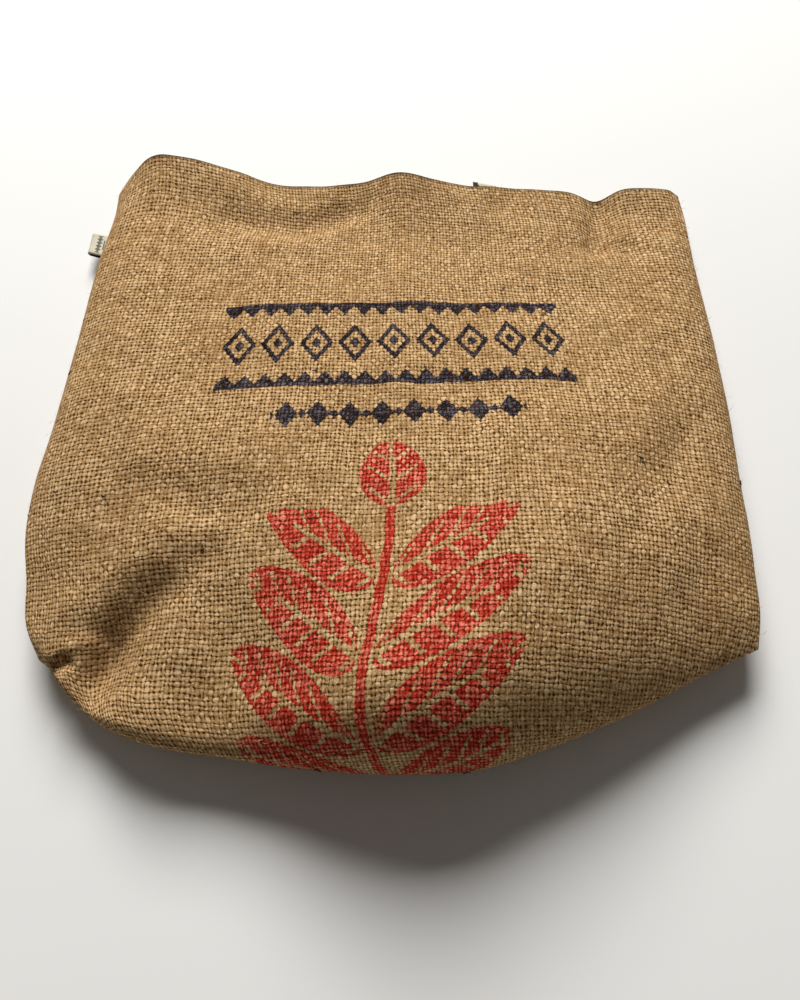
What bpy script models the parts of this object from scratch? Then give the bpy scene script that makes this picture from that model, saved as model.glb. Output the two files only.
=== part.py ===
"""Hessian bag, lying on its back, with its mouth open a little at +Y.

One strip of jute cloth is folded at the bottom end (-Y) and sewn up both sides.
The front panel rises from the thin mouth to a crown near the bottom end, where the
boxed bottom turns down to the floor. The back panel lies flat on the floor.
All sizes are in millimetres, and MM turns them into metres.
"""
from collections import namedtuple

import bmesh
import bpy
import numpy as np
from mathutils import Vector

MM = 0.001

# ---------------------------------------------------------------- driving sizes
CLOTH_THICKNESS = 1.8
HEM_THICKNESS = 3.4
HEM_DEPTH = 36.0
HEM_THINS_OVER = 16.0
PIECE_GAP = 0.3

LABEL_REACH = 12.0
LABEL_WIDTH = 18.0
LABEL_THICKNESS = 1.8
LABEL_STATION = 0.14
LABEL_TURN_DEG = -10.0

TAB_WIDTH = 14.0
TAB_PLACE = 0.665
TAB_REACH = 5.0
TAB_TUCKED = 22.0
TAB_THICKNESS = 1.0
TAB_CLEARANCE = 1.0

# The two side folds, from the mouth (along = 0) to the bottom corners (along = 1).
# edge is the height of the fold above the floor, and the rises are how far in from
# each fold the front panel takes to reach its full height.
Side = namedtuple("Side", "along left right edge left_rise right_rise")
SIDES = (
    Side(0.00, -203.0, 210.5, 10, 34, 26),
    Side(0.05, -202.5, 211.8, 10, 36, 30),
    Side(0.20, -206.3, 211.5, 10, 42, 33),
    Side(0.42, -208.0, 212.3, 12, 56, 52),
    Side(0.60, -210.0, 210.3, 15, 72, 76),
    Side(0.71, -212.5, 207.3, 18, 80, 90),
    Side(0.80, -210.0, 205.8, 20, 76, 99),
    Side(0.87, -204.0, 203.8, 22, 60, 100),
    Side(0.95, -198.0, 202.0, 22, 44, 96),
    Side(1.00, -188.0, 198.0, 22, 30, 90),
)

# The rim of the mouth across the bag, from the left fold (across = 0) to the right.
# lift is the height of the front panel's outer face at the rim.
Rim = namedtuple("Rim", "across y lift")
RIM = (
    Rim(0.000, 187.0, 12),
    Rim(0.015, 198.0, 17),
    Rim(0.040, 204.5, 24),
    Rim(0.075, 207.0, 28),
    Rim(0.140, 202.0, 29),
    Rim(0.220, 196.0, 23),
    Rim(0.300, 190.0, 15),
    Rim(0.360, 186.5, 19),
    Rim(0.440, 185.5, 24),
    Rim(0.500, 188.5, 30),
    Rim(0.560, 188.5, 24),
    Rim(0.610, 187.0, 20),
    Rim(0.690, 188.0, 15),
    Rim(0.760, 186.0, 15),
    Rim(0.805, 183.0, 15),
    Rim(0.845, 177.0, 14),
    Rim(0.895, 184.5, 17),
    Rim(0.965, 187.0, 16),
    Rim(0.988, 187.5, 14),
    Rim(1.000, 186.0, 11),
)

# The bottom end across the bag. y is its outline seen from above, edge the height
# where it reaches out furthest, rise the run from there up to the crown, and tuck
# the run from there down to the floor.
End = namedtuple("End", "across y edge rise tuck")
BOTTOM_END = (
    End(0.000, -162.5, 22, 20, 11),
    End(0.018, -167.5, 22, 12, 11),
    End(0.046, -180.0, 21, 8, 10),
    End(0.090, -194.0, 22, 8, 9),
    End(0.160, -205.5, 25, 8, 10),
    End(0.270, -212.8, 28, 14, 12),
    End(0.340, -216.9, 29, 26, 13),
    End(0.430, -220.2, 30, 38, 15),
    End(0.540, -220.9, 31, 50, 15),
    End(0.600, -219.0, 30, 62, 15),
    End(0.690, -209.0, 28, 78, 14),
    End(0.800, -192.6, 26, 84, 13),
    End(0.920, -170.2, 24, 80, 12),
    End(1.000, -156.5, 22, 64, 11),
)

# Height of the front panel's crown over the floor, at five places across the bag.
CROWN_PLACES = (0.10, 0.30, 0.50, 0.70, 0.90)
Crown = namedtuple("Crown", "along far_left left centre right far_right")
CROWN = (
    Crown(0.00, 28, 17, 28, 17, 18),
    Crown(0.10, 24, 20, 23, 20, 17),
    Crown(0.22, 29, 29, 31, 27, 24),
    Crown(0.40, 38, 42, 46, 43, 34),
    Crown(0.60, 46, 53, 60, 61, 47),
    Crown(0.75, 42, 53, 70, 72, 53),
    Crown(0.88, 33, 44, 80, 74, 52),
    Crown(1.00, 31, 40, 86, 74, 48),
)

# Soft folds of the front panel, each along a straight run. A depth below zero is a
# trough and one above zero a ridge, at the start and at the end of the run.
Fold = namedtuple("Fold", "x0 y0 depth0 x1 y1 depth1 width")
FOLDS = (
    # the trough below the turned-in hem, left of the middle
    Fold(-112, 152, -4, -66, 148, -7, 13),
    Fold(-66, 148, -7, -22, 162, -5, 12),
    # the dip under the notch in the rim
    Fold(147, 166, -3, 141, 128, -8, 9),
    Fold(122, 130, -2, 160, 127, -3, 10),
    # a shallow trough down from the mouth, right of the middle
    Fold(72, 168, -3, 68, 104, -3, 11),
    # the trough from the left bottom corner up into the front
    Fold(-160, -190, -6, -152, -172, -11, 11),
    Fold(-152, -172, -11, -145, -156, -11, 11),
    Fold(-145, -156, -11, -132, -138, -7, 12),
    Fold(-132, -138, -7, -110, -122, -4, 12),
    Fold(-110, -122, -4, -76, -102, -1, 14),
    # the soft ridges beside it
    Fold(-176, -140, 3, -150, -128, 4, 16),
    Fold(-150, -128, 4, -122, -100, 2, 16),
    Fold(-120, -190, 4, -104, -160, 4, 16),
    # the soft band above it
    Fold(-150, -76, -1.5, -78, -84, -2.5, 15),
    Fold(-140, -46, 1.5, -84, -52, 2.5, 18),
    # the trough from the right side fold in towards the bottom
    Fold(182, -22, -2, 152, -68, -4, 14),
    Fold(152, -68, -4, 120, -118, -2, 17),
    Fold(172, -78, 1.5, 152, -112, 2, 17),
)

# Where the mesh lines run: close together at the rounded edges, even between them.
SIDE_STEPS = (0.0, 0.003, 0.009, 0.019, 0.036, 0.062)
END_STEPS = (0.0, 0.003, 0.010, 0.022, 0.042, 0.070)
COLUMNS_BETWEEN = 26
ROWS_BETWEEN = 26


def column(rows, name):
    """One named column of a table."""
    return np.array([getattr(row, name) for row in rows], float)


def smooth(places, values, at):
    """Cubic curve through the values at the places, read at an array of places."""
    slopes = np.gradient(values, places, axis=0)
    at = np.clip(at, places[0], places[-1])
    i = np.clip(np.searchsorted(places, at, side="right") - 1, 0, len(places) - 2)
    span = places[i + 1] - places[i]
    t = (at - places[i]) / span
    rise = (2 * t - 3) * t * t
    start = (1 + rise) * values[i] + (t - 1) ** 2 * t * span * slopes[i]
    return start - rise * values[i + 1] + (t - 1) * t * t * span * slopes[i + 1]


def read(rows, name, at):
    """A named column of a table, read smoothly along the table's first column."""
    return smooth(column(rows, rows[0]._fields[0]), column(rows, name), at)


def shoulder(distance, run):
    """Rounded rise from 0 at an edge to 1 at the end of its run."""
    t = 1.0 - np.clip(distance / run, 0.0, 1.0)
    return np.sqrt(1.0 - t * t)


def crown_height(across, along):
    """Height of the front panel before its edges and folds."""
    names = Crown._fields[1:]
    lines = np.stack([read(CROWN, name, along) for name in names])
    height = np.empty_like(across)
    places = np.array(CROWN_PLACES)
    for index in np.ndindex(across.shape):
        height[index] = smooth(places, lines[(slice(None), *index)], across[index])
    return height


def fold_relief(x, y):
    """The ridges and troughs of the front panel, where the strongest one wins."""
    ridge = np.zeros_like(x)
    trough = np.zeros_like(x)
    for fold in FOLDS:
        run_x = fold.x1 - fold.x0
        run_y = fold.y1 - fold.y0
        t = ((x - fold.x0) * run_x + (y - fold.y0) * run_y) / (run_x ** 2 + run_y ** 2)
        t = np.clip(t, 0.0, 1.0)
        distance = np.hypot(x - fold.x0 - t * run_x, y - fold.y0 - t * run_y)
        depth = fold.depth0 + t * (fold.depth1 - fold.depth0)
        relief = depth * np.exp(-((distance / fold.width) ** 2))
        ridge = np.maximum(ridge, relief)
        trough = np.minimum(trough, relief)
    return ridge + trough


def panels(across, along):
    """Plan position and the heights of the front and back panels, outer faces."""
    left = read(SIDES, "left", along)
    right = read(SIDES, "right", along)
    rim_y = read(RIM, "y", across)
    end_y = read(BOTTOM_END, "y", across)
    x = left + across * (right - left)
    y = rim_y + along * (end_y - rim_y)

    to_end = np.clip((along - 0.7) / 0.3, 0.0, 1.0)
    to_end = to_end * to_end * (3 - 2 * to_end)
    side_edge = read(SIDES, "edge", along)
    edge = side_edge + to_end * (read(BOTTOM_END, "edge", across) - side_edge)

    from_left = x - left
    from_right = right - x
    from_end = y - end_y
    from_rim = rim_y - y
    sides = shoulder(from_left, read(SIDES, "left_rise", along))
    sides = sides * shoulder(from_right, read(SIDES, "right_rise", along))
    closed = sides * shoulder(from_end, read(BOTTOM_END, "rise", across))
    height = crown_height(across, along)
    rim_lift = read(RIM, "lift", across) - crown_height(across, np.zeros_like(along))
    height = height + rim_lift * np.exp(-((from_rim / 26.0) ** 2))
    height = height + fold_relief(x, y)
    front = edge + (height - edge) * closed

    grounded = shoulder(from_left, edge) * shoulder(from_right, edge)
    grounded = grounded * shoulder(from_end, read(BOTTOM_END, "tuck", across))
    back = edge * (1.0 - grounded)
    return x, y, front, back, from_rim


def mesh_lines(first_steps, last_steps, between):
    """Places from 0 to 1 with close steps at the ends and even ones between."""
    low = list(first_steps)
    high = [1.0 - step for step in reversed(last_steps)]
    middle = np.linspace(low[-1], high[0], between + 1)[1:-1]
    return np.array([*low, *middle, *high])


def material(name, colour, roughness):
    """Plain cloth material."""
    made = bpy.data.materials.new(name)
    made.use_nodes = True
    surface = made.node_tree.nodes["Principled BSDF"]
    surface.inputs["Base Color"].default_value = (*colour, 1.0)
    surface.inputs["Roughness"].default_value = roughness
    surface.inputs["Metallic"].default_value = 0.0
    return made


def add_object(name, mesh, parts, finish):
    """Puts a mesh into the parts collection with its material."""
    made = bpy.data.objects.new(name, mesh)
    parts.objects.link(made)
    mesh.materials.append(finish)
    mesh.shade_smooth()
    return made


def build_body(parts, finish):
    """The whole bag: both panels as one skin, thickened inwards with Solidify.

    Each cell of the front panel is split along the diagonal that lies closer to the
    true surface, so that slanting folds stay smooth.
    """
    columns = mesh_lines(SIDE_STEPS, SIDE_STEPS, COLUMNS_BETWEEN)
    rows = mesh_lines((0.0,), END_STEPS, ROWS_BETWEEN)
    across, along = np.meshgrid(columns, rows)
    x, y, front, back, from_rim = panels(across, along)
    between_lines = np.meshgrid(0.5 * (columns[1:] + columns[:-1]), 0.5 * (rows[1:] + rows[:-1]))
    middle = panels(*between_lines)[2]
    one_way = np.abs(0.5 * (front[:-1, :-1] + front[1:, 1:]) - middle)
    other_way = np.abs(0.5 * (front[1:, :-1] + front[:-1, 1:]) - middle)
    last_row, last_column = len(rows) - 1, len(columns) - 1

    thin = CLOTH_THICKNESS / HEM_THICKNESS

    skin = bmesh.new()
    hem = skin.verts.layers.deform.verify()

    def vertex(row, col, height):
        made = skin.verts.new((x[row, col] * MM, y[row, col] * MM, height * MM))
        from_side = min(x[row, col] - x[row, 0], x[row, last_column] - x[row, col])
        doubled = min(from_side / HEM_THINS_OVER, 1.0) * (from_rim[row, col] < HEM_DEPTH)
        made[hem][0] = thin + doubled * (1.0 - thin)
        return made

    top = [[vertex(r, c, front[r, c]) for c in range(last_column + 1)]
           for r in range(last_row + 1)]
    under = [[top[r][c] if c in (0, last_column) or r == last_row
              else vertex(r, c, back[r, c]) for c in range(last_column + 1)]
             for r in range(last_row + 1)]
    for r in range(last_row):
        for c in range(last_column):
            loop = (top[r][c], top[r + 1][c], top[r + 1][c + 1], top[r][c + 1])
            if other_way[r, c] < one_way[r, c]:
                loop = (*loop[1:], loop[0])
            skin.faces.new(loop[:3])
            skin.faces.new((loop[0], *loop[2:]))
            skin.faces.new((under[r][c], under[r][c + 1], under[r + 1][c + 1],
                            under[r + 1][c]))
    mesh = bpy.data.meshes.new("bag_body")
    skin.to_mesh(mesh)
    skin.free()

    body = add_object("bag_body", mesh, parts, finish)
    body.vertex_groups.new(name="hem")
    shell = body.modifiers.new("cloth", "SOLIDIFY")
    shell.thickness = HEM_THICKNESS * MM
    shell.offset = -1.0
    shell.vertex_group = "hem"
    shell.use_rim = True
    return body


def build_side_label(parts, finish):
    """The folded label: a small block with its outer fold rounded."""
    stations = np.array([LABEL_STATION - 0.02, LABEL_STATION, LABEL_STATION + 0.02])
    x, y, front, *_ = panels(np.zeros(3), stations)
    block = bmesh.new()
    bmesh.ops.create_cube(block, size=1.0)
    bmesh.ops.scale(block, verts=block.verts,
                    vec=Vector((LABEL_REACH, LABEL_WIDTH, LABEL_THICKNESS)) * MM)
    fold = [edge for edge in block.edges
            if all(v.co.x < 0 for v in edge.verts)
            and abs(edge.verts[0].co.z - edge.verts[1].co.z) < 1e-9]
    bmesh.ops.bevel(block, geom=fold, offset=LABEL_THICKNESS * 0.42 * MM, segments=3,
                    profile=0.5, affect="EDGES")
    mesh = bpy.data.meshes.new("side_label")
    block.to_mesh(mesh)
    block.free()
    label = add_object("side_label", mesh, parts, finish)
    turn = np.radians(LABEL_TURN_DEG)
    off_seam = turn + np.arctan2(x[0] - x[2], y[0] - y[2])
    clear = 0.5 * (LABEL_REACH * np.cos(off_seam) + LABEL_WIDTH * abs(np.sin(off_seam)))
    label.location = Vector((x[1] - clear - 2 * PIECE_GAP, y[1], front[1])) * MM
    label.rotation_euler.z = turn
    return label


def build_mouth_tab(parts, finish):
    """The tape end: a strip that follows the inside of the front hem past the rim."""
    half = 0.5 * TAB_WIDTH / (SIDES[0].right - SIDES[0].left)
    across, reach = np.meshgrid(np.linspace(TAB_PLACE - half, TAB_PLACE + half, 5),
                                np.linspace(-TAB_REACH, TAB_TUCKED, 10))
    length = read(RIM, "y", across) - read(BOTTOM_END, "y", across)
    along = np.maximum(reach, 0.0) / length
    x, y, front, _, _ = panels(across, along)
    y = y + np.maximum(-reach, 0.0)
    low = front - HEM_THICKNESS - TAB_CLEARANCE
    strip = bmesh.new()
    grid = [[strip.verts.new((x[r, c] * MM, y[r, c] * MM, low[r, c] * MM))
             for c in range(x.shape[1])] for r in range(x.shape[0])]
    for r in range(x.shape[0] - 1):
        for c in range(x.shape[1] - 1):
            strip.faces.new((grid[r][c], grid[r + 1][c], grid[r + 1][c + 1],
                             grid[r][c + 1]))
    mesh = bpy.data.meshes.new("mouth_tab")
    strip.to_mesh(mesh)
    strip.free()
    tab = add_object("mouth_tab", mesh, parts, finish)
    tape = tab.modifiers.new("tape", "SOLIDIFY")
    tape.thickness = TAB_THICKNESS * MM
    tape.offset = -1.0
    return tab


def stand_on_origin(parts):
    """Moves the pieces so that the middle of their shared box is over the origin."""
    bpy.context.view_layer.update()
    corners = [piece.matrix_world @ Vector(corner)
               for piece in parts.objects for corner in piece.bound_box]
    for axis in range(2):
        low = min(corner[axis] for corner in corners)
        high = max(corner[axis] for corner in corners)
        for piece in parts.objects:
            piece.location[axis] -= 0.5 * (low + high)


for old in list(bpy.data.objects):
    bpy.data.objects.remove(old)

bag = bpy.data.collections.new("hessian_bag")
bpy.context.scene.collection.children.link(bag)
jute = material("jute", (0.45, 0.285, 0.138), 0.9)
cream_tape = material("cream_tape", (0.68, 0.62, 0.49), 0.8)
build_body(bag, jute)
build_side_label(bag, cream_tape)
build_mouth_tab(bag, cream_tape)
stand_on_origin(bag)
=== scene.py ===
import math
from collections import namedtuple

import bmesh
import bpy
import numpy as np
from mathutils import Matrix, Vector


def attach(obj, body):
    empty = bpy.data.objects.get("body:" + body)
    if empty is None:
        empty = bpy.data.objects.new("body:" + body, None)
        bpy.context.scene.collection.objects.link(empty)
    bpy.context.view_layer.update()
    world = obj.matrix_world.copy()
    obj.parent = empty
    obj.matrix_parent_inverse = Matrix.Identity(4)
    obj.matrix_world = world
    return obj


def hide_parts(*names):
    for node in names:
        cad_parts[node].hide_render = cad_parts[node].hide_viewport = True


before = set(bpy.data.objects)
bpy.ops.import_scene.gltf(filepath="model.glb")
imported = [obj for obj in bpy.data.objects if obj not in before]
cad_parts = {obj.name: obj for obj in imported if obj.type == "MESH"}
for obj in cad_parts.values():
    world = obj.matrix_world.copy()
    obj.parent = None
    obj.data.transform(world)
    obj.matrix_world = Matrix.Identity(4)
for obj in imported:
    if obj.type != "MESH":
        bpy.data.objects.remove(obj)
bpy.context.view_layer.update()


# ---------------------------------------------------------------- camera
# The bag lies on its back and is seen from past its bottom end, 65 degrees down,
# close enough for the bottom end to look wider than the mouth.
MM = 0.001
CAMERA_PLACE = (8.5, -251.9, 432)
LOOKS_DOWN = 65
LENS = 27.756
SENSOR_WIDTH = 36

camera = bpy.data.objects.new("camera", bpy.data.cameras.new("camera"))
bpy.context.scene.collection.objects.link(camera)
bpy.context.scene.camera = camera
camera.location = tuple(place * MM for place in CAMERA_PLACE)
camera.rotation_euler = (math.radians(90 - LOOKS_DOWN), 0, 0)
camera.data.sensor_width = SENSOR_WIDTH
camera.data.lens = LENS
camera.data.clip_start = 0.01


# ---------------------------------------------------------------- floor and light
# A plain pale table top, a large soft lamp behind the mouth on the left, and pale
# light from all round.
scene = bpy.context.scene
scene.view_settings.view_transform = "Standard"
scene.view_settings.look = "None"

FLOOR_SIZE = 8.0
KEY_PLACE = (-0.35, 2.93, 2.45)
KEY_SIZE = 2.0
KEY_POWER = 219.0
KEY_COLOUR = (1.0, 0.985, 0.96)
SKY_COLOUR = (1.0, 0.96, 0.90)
SKY_STRENGTH = 0.09
TABLE_COLOURS = ((0.86, 0.86, 0.85), (0.90, 0.90, 0.89))


def add_object(name, mesh):
    """Puts a mesh into the scene at the origin."""
    made = bpy.data.objects.new(name, mesh)
    bpy.context.scene.collection.objects.link(made)
    return made


floor_mesh = bpy.data.meshes.new("floor")
half = FLOOR_SIZE / 2
floor_mesh.from_pydata([(-half, -half, 0), (half, -half, 0), (half, half, 0), (-half, half, 0)],
                       [], [(0, 1, 2, 3)])
floor = add_object("floor", floor_mesh)

key = bpy.data.objects.new("key_lamp", bpy.data.lights.new("key_lamp", "AREA"))
scene.collection.objects.link(key)
key.location = KEY_PLACE
key.rotation_euler = (-Vector(KEY_PLACE)).to_track_quat("-Z", "Y").to_euler()
key.data.size = KEY_SIZE
key.data.energy = KEY_POWER
key.data.color = KEY_COLOUR

scene.world = bpy.data.worlds.new("room")
scene.world.use_nodes = True
sky = scene.world.node_tree.nodes["Background"]
sky.inputs["Color"].default_value = (*SKY_COLOUR, 1.0)
sky.inputs["Strength"].default_value = SKY_STRENGTH


class Finish:
    """One material. Its node method adds any shader node and wraps its outputs."""

    def __init__(self, name):
        self.material = bpy.data.materials.new(name)
        self.material.use_nodes = True
        self.tree = self.material.node_tree
        self.surface = self.tree.nodes["Principled BSDF"]

    def node(self, kind, settings=None, sockets=None, out=0):
        """Adds a node: its settings first, then the values or links of its sockets."""
        made = self.tree.nodes.new(kind)
        for name, value in (settings or {}).items():
            setattr(made, name, value)
        for name, value in (sockets or {}).items():
            self.feed(made.inputs[name], value)
        if isinstance(out, tuple):
            return tuple(Wire(self, made.outputs[name]) for name in out)
        return Wire(self, made.outputs[out])

    def feed(self, socket, value):
        """Links a wire to a socket, or sets the socket to a plain value."""
        if isinstance(value, Wire):
            self.tree.links.new(value.socket, socket)
        elif hasattr(value, "__len__") and len(value) == 3 and socket.type == "RGBA":
            socket.default_value = (*value, 1.0)
        else:
            socket.default_value = value

    def maths(self, operation, *values):
        """One Math node."""
        return self.node("ShaderNodeMath", {"operation": operation}, dict(enumerate(values)))

    def flat_map(self, name):
        """A map of the piece, with its two directions as numbers, all in metres."""
        whole = self.node("ShaderNodeUVMap", {"uv_map": name})
        return whole, *self.node("ShaderNodeSeparateXYZ", None, {0: whole}, out=("X", "Y"))

    def vector(self, x, y, z=0.0):
        """Three numbers as one vector."""
        return self.node("ShaderNodeCombineXYZ", None, {"X": x, "Y": y, "Z": z})

    def step(self, value, low, high):
        """Rises smoothly from 0 at low to 1 at high."""
        return self.node("ShaderNodeMapRange", {"interpolation_type": "SMOOTHSTEP"},
                         {"Value": value, "From Min": low, "From Max": high})

    def blend(self, factor, first, second):
        """A colour between two colours."""
        return self.node("ShaderNodeMix", {"data_type": "RGBA"},
                         {0: factor, 6: first, 7: second}, out=2)

    def pick(self, factor, first, second):
        """A number between two numbers."""
        return first + (second - first) * factor

    def noise(self, place, scale=1.0, detail=1.0, roughness=0.5):
        """Soft noise about 0.5 at a place."""
        return self.node("ShaderNodeTexNoise", {"noise_dimensions": "3D"},
                         {"Vector": place, "Scale": scale, "Detail": detail,
                          "Roughness": roughness})

    def bump(self, height, distance, strength=1.0):
        """Relief that the light sees, fed to Normal."""
        relief = self.node("ShaderNodeBump", None,
                           {"Height": height, "Distance": distance, "Strength": strength})
        self.feed(self.surface.inputs["Normal"], relief)

    def set(self, **values):
        """Sets or links sockets of the surface, named with _ for a space."""
        for name, value in values.items():
            self.feed(self.surface.inputs[name.replace("_", " ")], value)


class Wire:
    """A number that runs through a material, so that shader maths reads as Python."""

    def __init__(self, finish, socket):
        self.finish = finish
        self.socket = socket

    def __add__(self, other):
        return self.finish.maths("ADD", self, other)

    def __sub__(self, other):
        return self.finish.maths("SUBTRACT", self, other)

    def __rsub__(self, other):
        return self.finish.maths("SUBTRACT", other, self)

    def __mul__(self, other):
        return self.finish.maths("MULTIPLY", self, other)

    def __truediv__(self, other):
        return self.finish.maths("DIVIDE", self, other)

    def __pow__(self, other):
        return self.finish.maths("POWER", self, other)

    def __gt__(self, other):
        return self.finish.maths("GREATER_THAN", self, other)

    def __lt__(self, other):
        return self.finish.maths("LESS_THAN", self, other)

    def __abs__(self):
        return self.finish.maths("ABSOLUTE", self)

    def floor(self):
        return self.finish.maths("FLOOR", self)

    def fract(self):
        return self.finish.maths("FRACT", self)

    def cos(self):
        return self.finish.maths("COSINE", self)

    def sin(self):
        return self.finish.maths("SINE", self)

    def least(self, other):
        return self.finish.maths("MINIMUM", self, other)

    def most(self, other):
        return self.finish.maths("MAXIMUM", self, other)

    __radd__ = __add__
    __rmul__ = __mul__


table_top = Finish("table_top")
place = table_top.node("ShaderNodeTexCoord", out="Object")
mottle = table_top.noise(place, scale=3.0, detail=3.0)
table_top.set(Base_Color=table_top.blend(mottle, *TABLE_COLOURS), Roughness=0.75)
floor_mesh.materials.append(table_top.material)


# ---------------------------------------------------------------- bag cloth
# One strip of plain-woven jute, folded at the bottom end and sewn up both sides with
# the seams inside. Its mouth is turned in as a soft hem. Sizes in millimetres.
CLOTH_THICKNESS = 1.8
HEM_THICKNESS = 3.4
HEM_DEPTH = 36.0
HEM_THINS_OVER = 16.0
CLOTH_WIDTH = 405.0
STANDS_AT = (3.471, 7.092)

# The stretch of the rim that the tape behind the hem pushes out, in shares of the width.
TAPE_PUSHES_RIM = 0.4
TAPE_FROM, TAPE_COMES_IN = 0.627, 0.014
TAPE_TO, TAPE_GOES_OUT = 0.694, 0.018

# The two side folds, from the mouth (along = 0) to the bottom corners (along = 1).
Side = namedtuple("Side", "along left right edge left_rise right_rise")
SIDES = (
    Side(0.00, -203.0, 210.5, 10, 34, 26),
    Side(0.05, -202.5, 211.8, 10, 36, 30),
    Side(0.20, -206.3, 211.5, 10, 42, 33),
    Side(0.42, -208.0, 212.3, 12, 56, 52),
    Side(0.60, -210.0, 210.3, 15, 72, 76),
    Side(0.71, -212.5, 207.3, 18, 80, 90),
    Side(0.80, -210.0, 205.8, 20, 76, 99),
    Side(0.87, -204.0, 203.8, 22, 60, 100),
    Side(0.95, -198.0, 202.0, 22, 44, 96),
    Side(1.00, -188.0, 198.0, 22, 30, 90),
)

# The rim of the mouth across the bag, and how high the front panel stands there.
Rim = namedtuple("Rim", "across y lift")
RIM = (
    Rim(0.000, 187.0, 12),
    Rim(0.015, 198.0, 17),
    Rim(0.040, 204.5, 24),
    Rim(0.075, 207.0, 28),
    Rim(0.140, 202.0, 29),
    Rim(0.220, 196.0, 23),
    Rim(0.300, 190.0, 15),
    Rim(0.360, 186.5, 19),
    Rim(0.440, 185.5, 24),
    Rim(0.500, 188.5, 30),
    Rim(0.560, 188.5, 24),
    Rim(0.610, 187.0, 20),
    Rim(0.690, 188.0, 15),
    Rim(0.760, 186.0, 15),
    Rim(0.805, 183.0, 15),
    Rim(0.845, 177.0, 14),
    Rim(0.895, 184.5, 17),
    Rim(0.965, 187.0, 16),
    Rim(0.988, 187.5, 14),
    Rim(1.000, 186.0, 11),
)
RIM_LIFT_FADES = 26.0

# The bottom end: its outline seen from above, the height where it reaches out
# furthest, the run from there up to the crown, and the run down to the floor.
End = namedtuple("End", "across y edge rise tuck")
BOTTOM_END = (
    End(0.000, -162.5, 22, 20, 11),
    End(0.018, -167.5, 22, 12, 11),
    End(0.046, -180.0, 21, 8, 10),
    End(0.090, -194.0, 22, 8, 9),
    End(0.160, -205.5, 25, 8, 10),
    End(0.270, -212.8, 28, 14, 12),
    End(0.340, -216.9, 29, 26, 13),
    End(0.430, -220.2, 30, 38, 15),
    End(0.540, -220.9, 31, 50, 15),
    End(0.600, -219.0, 30, 62, 15),
    End(0.690, -209.0, 28, 78, 14),
    End(0.800, -192.6, 26, 84, 13),
    End(0.920, -170.2, 24, 80, 12),
    End(1.000, -156.5, 22, 64, 11),
)
BOTTOM_FROM, BOTTOM_RUN = 0.7, 0.3

# Height of the front panel's crown over the floor, at five places across the bag.
CROWN_PLACES = np.array((0.10, 0.30, 0.50, 0.70, 0.90))
Crown = namedtuple("Crown", "along far_left left centre right far_right")
CROWN = (
    Crown(0.00, 28, 17, 28, 17, 18),
    Crown(0.10, 24, 20, 23, 20, 17),
    Crown(0.22, 29, 29, 31, 27, 24),
    Crown(0.40, 38, 42, 46, 43, 34),
    Crown(0.60, 46, 53, 60, 61, 47),
    Crown(0.75, 42, 53, 70, 72, 53),
    Crown(0.88, 33, 44, 80, 74, 52),
    Crown(1.00, 31, 40, 86, 74, 48),
)

# Soft troughs (below zero) and ridges of the front panel, each along a straight run.
Fold = namedtuple("Fold", "x0 y0 depth0 x1 y1 depth1 width")
FOLDS = (
    Fold(-112, 152, -4, -66, 148, -7, 13),
    Fold(-66, 148, -7, -22, 162, -5, 12),
    Fold(147, 166, -3, 141, 128, -8, 9),
    Fold(122, 130, -2, 160, 127, -3, 10),
    Fold(72, 168, -3, 68, 104, -3, 11),
    Fold(-160, -190, -6, -152, -172, -11, 11),
    Fold(-152, -172, -11, -145, -156, -11, 11),
    Fold(-145, -156, -11, -132, -138, -7, 12),
    Fold(-132, -138, -7, -110, -122, -4, 12),
    Fold(-110, -122, -4, -76, -102, -1, 14),
    Fold(-176, -140, 3, -150, -128, 4, 16),
    Fold(-150, -128, 4, -122, -100, 2, 16),
    Fold(-120, -190, 4, -104, -160, 4, 16),
    Fold(-150, -76, -1.5, -78, -84, -2.5, 15),
    Fold(-140, -46, 1.5, -84, -52, 2.5, 18),
    Fold(182, -22, -2, 152, -68, -4, 14),
    Fold(152, -68, -4, 120, -118, -2, 17),
    Fold(172, -78, 1.5, 152, -112, 2, 17),
)

# Finer creases than the solid has: the pinched corner, and small rumples elsewhere.
CREASES = (
    Fold(-181, -170, -7, -171, -164, -7, 3.4),
    Fold(-178, -172, -2, -168, -166, -3, 2.2),
    Fold(-174, -162, 1.5, -163, -156, 2, 4.0),
    Fold(-160, -166, 1, -157, -156, 2, 4.0),
)

# Slack cloth is never quite even: low waves, each a length and a height.
RUMPLES = ((70, 0.55), (46, 0.4), (31, 0.3), (21, 0.2))
RUMPLE_WAYS = 4
RUMPLE_SEED = 5


def step(t):
    """Smooth rise from 0 to 1."""
    t = np.clip(t, 0.0, 1.0)
    return t * t * (3 - 2 * t)


def column(rows, name):
    """One named column of a table."""
    return np.array([getattr(row, name) for row in rows], float)


def smooth(places, values, at):
    """Cubic curve through the values at the places. Values may have a column each."""
    slopes = np.gradient(values, places, axis=0)
    at = np.clip(at, places[0], places[-1])
    i = np.clip(np.searchsorted(places, at, side="right") - 1, 0, len(places) - 2)
    if values.ndim > at.ndim:
        def pick(rows, index):
            return np.take_along_axis(rows, index[None], axis=0)[0]
    else:
        def pick(rows, index):
            return rows[index]
    span = places[i + 1] - places[i]
    t = (at - places[i]) / span
    rise = (2 * t - 3) * t * t
    start = (1 + rise) * pick(values, i) + (t - 1) ** 2 * t * span * pick(slopes, i)
    return start - rise * pick(values, i + 1) + (t - 1) * t * t * span * pick(slopes, i + 1)


def read(rows, name, at):
    """A named column of a table, read smoothly along the table's first column."""
    return smooth(column(rows, rows[0]._fields[0]), column(rows, name), at)


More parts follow.
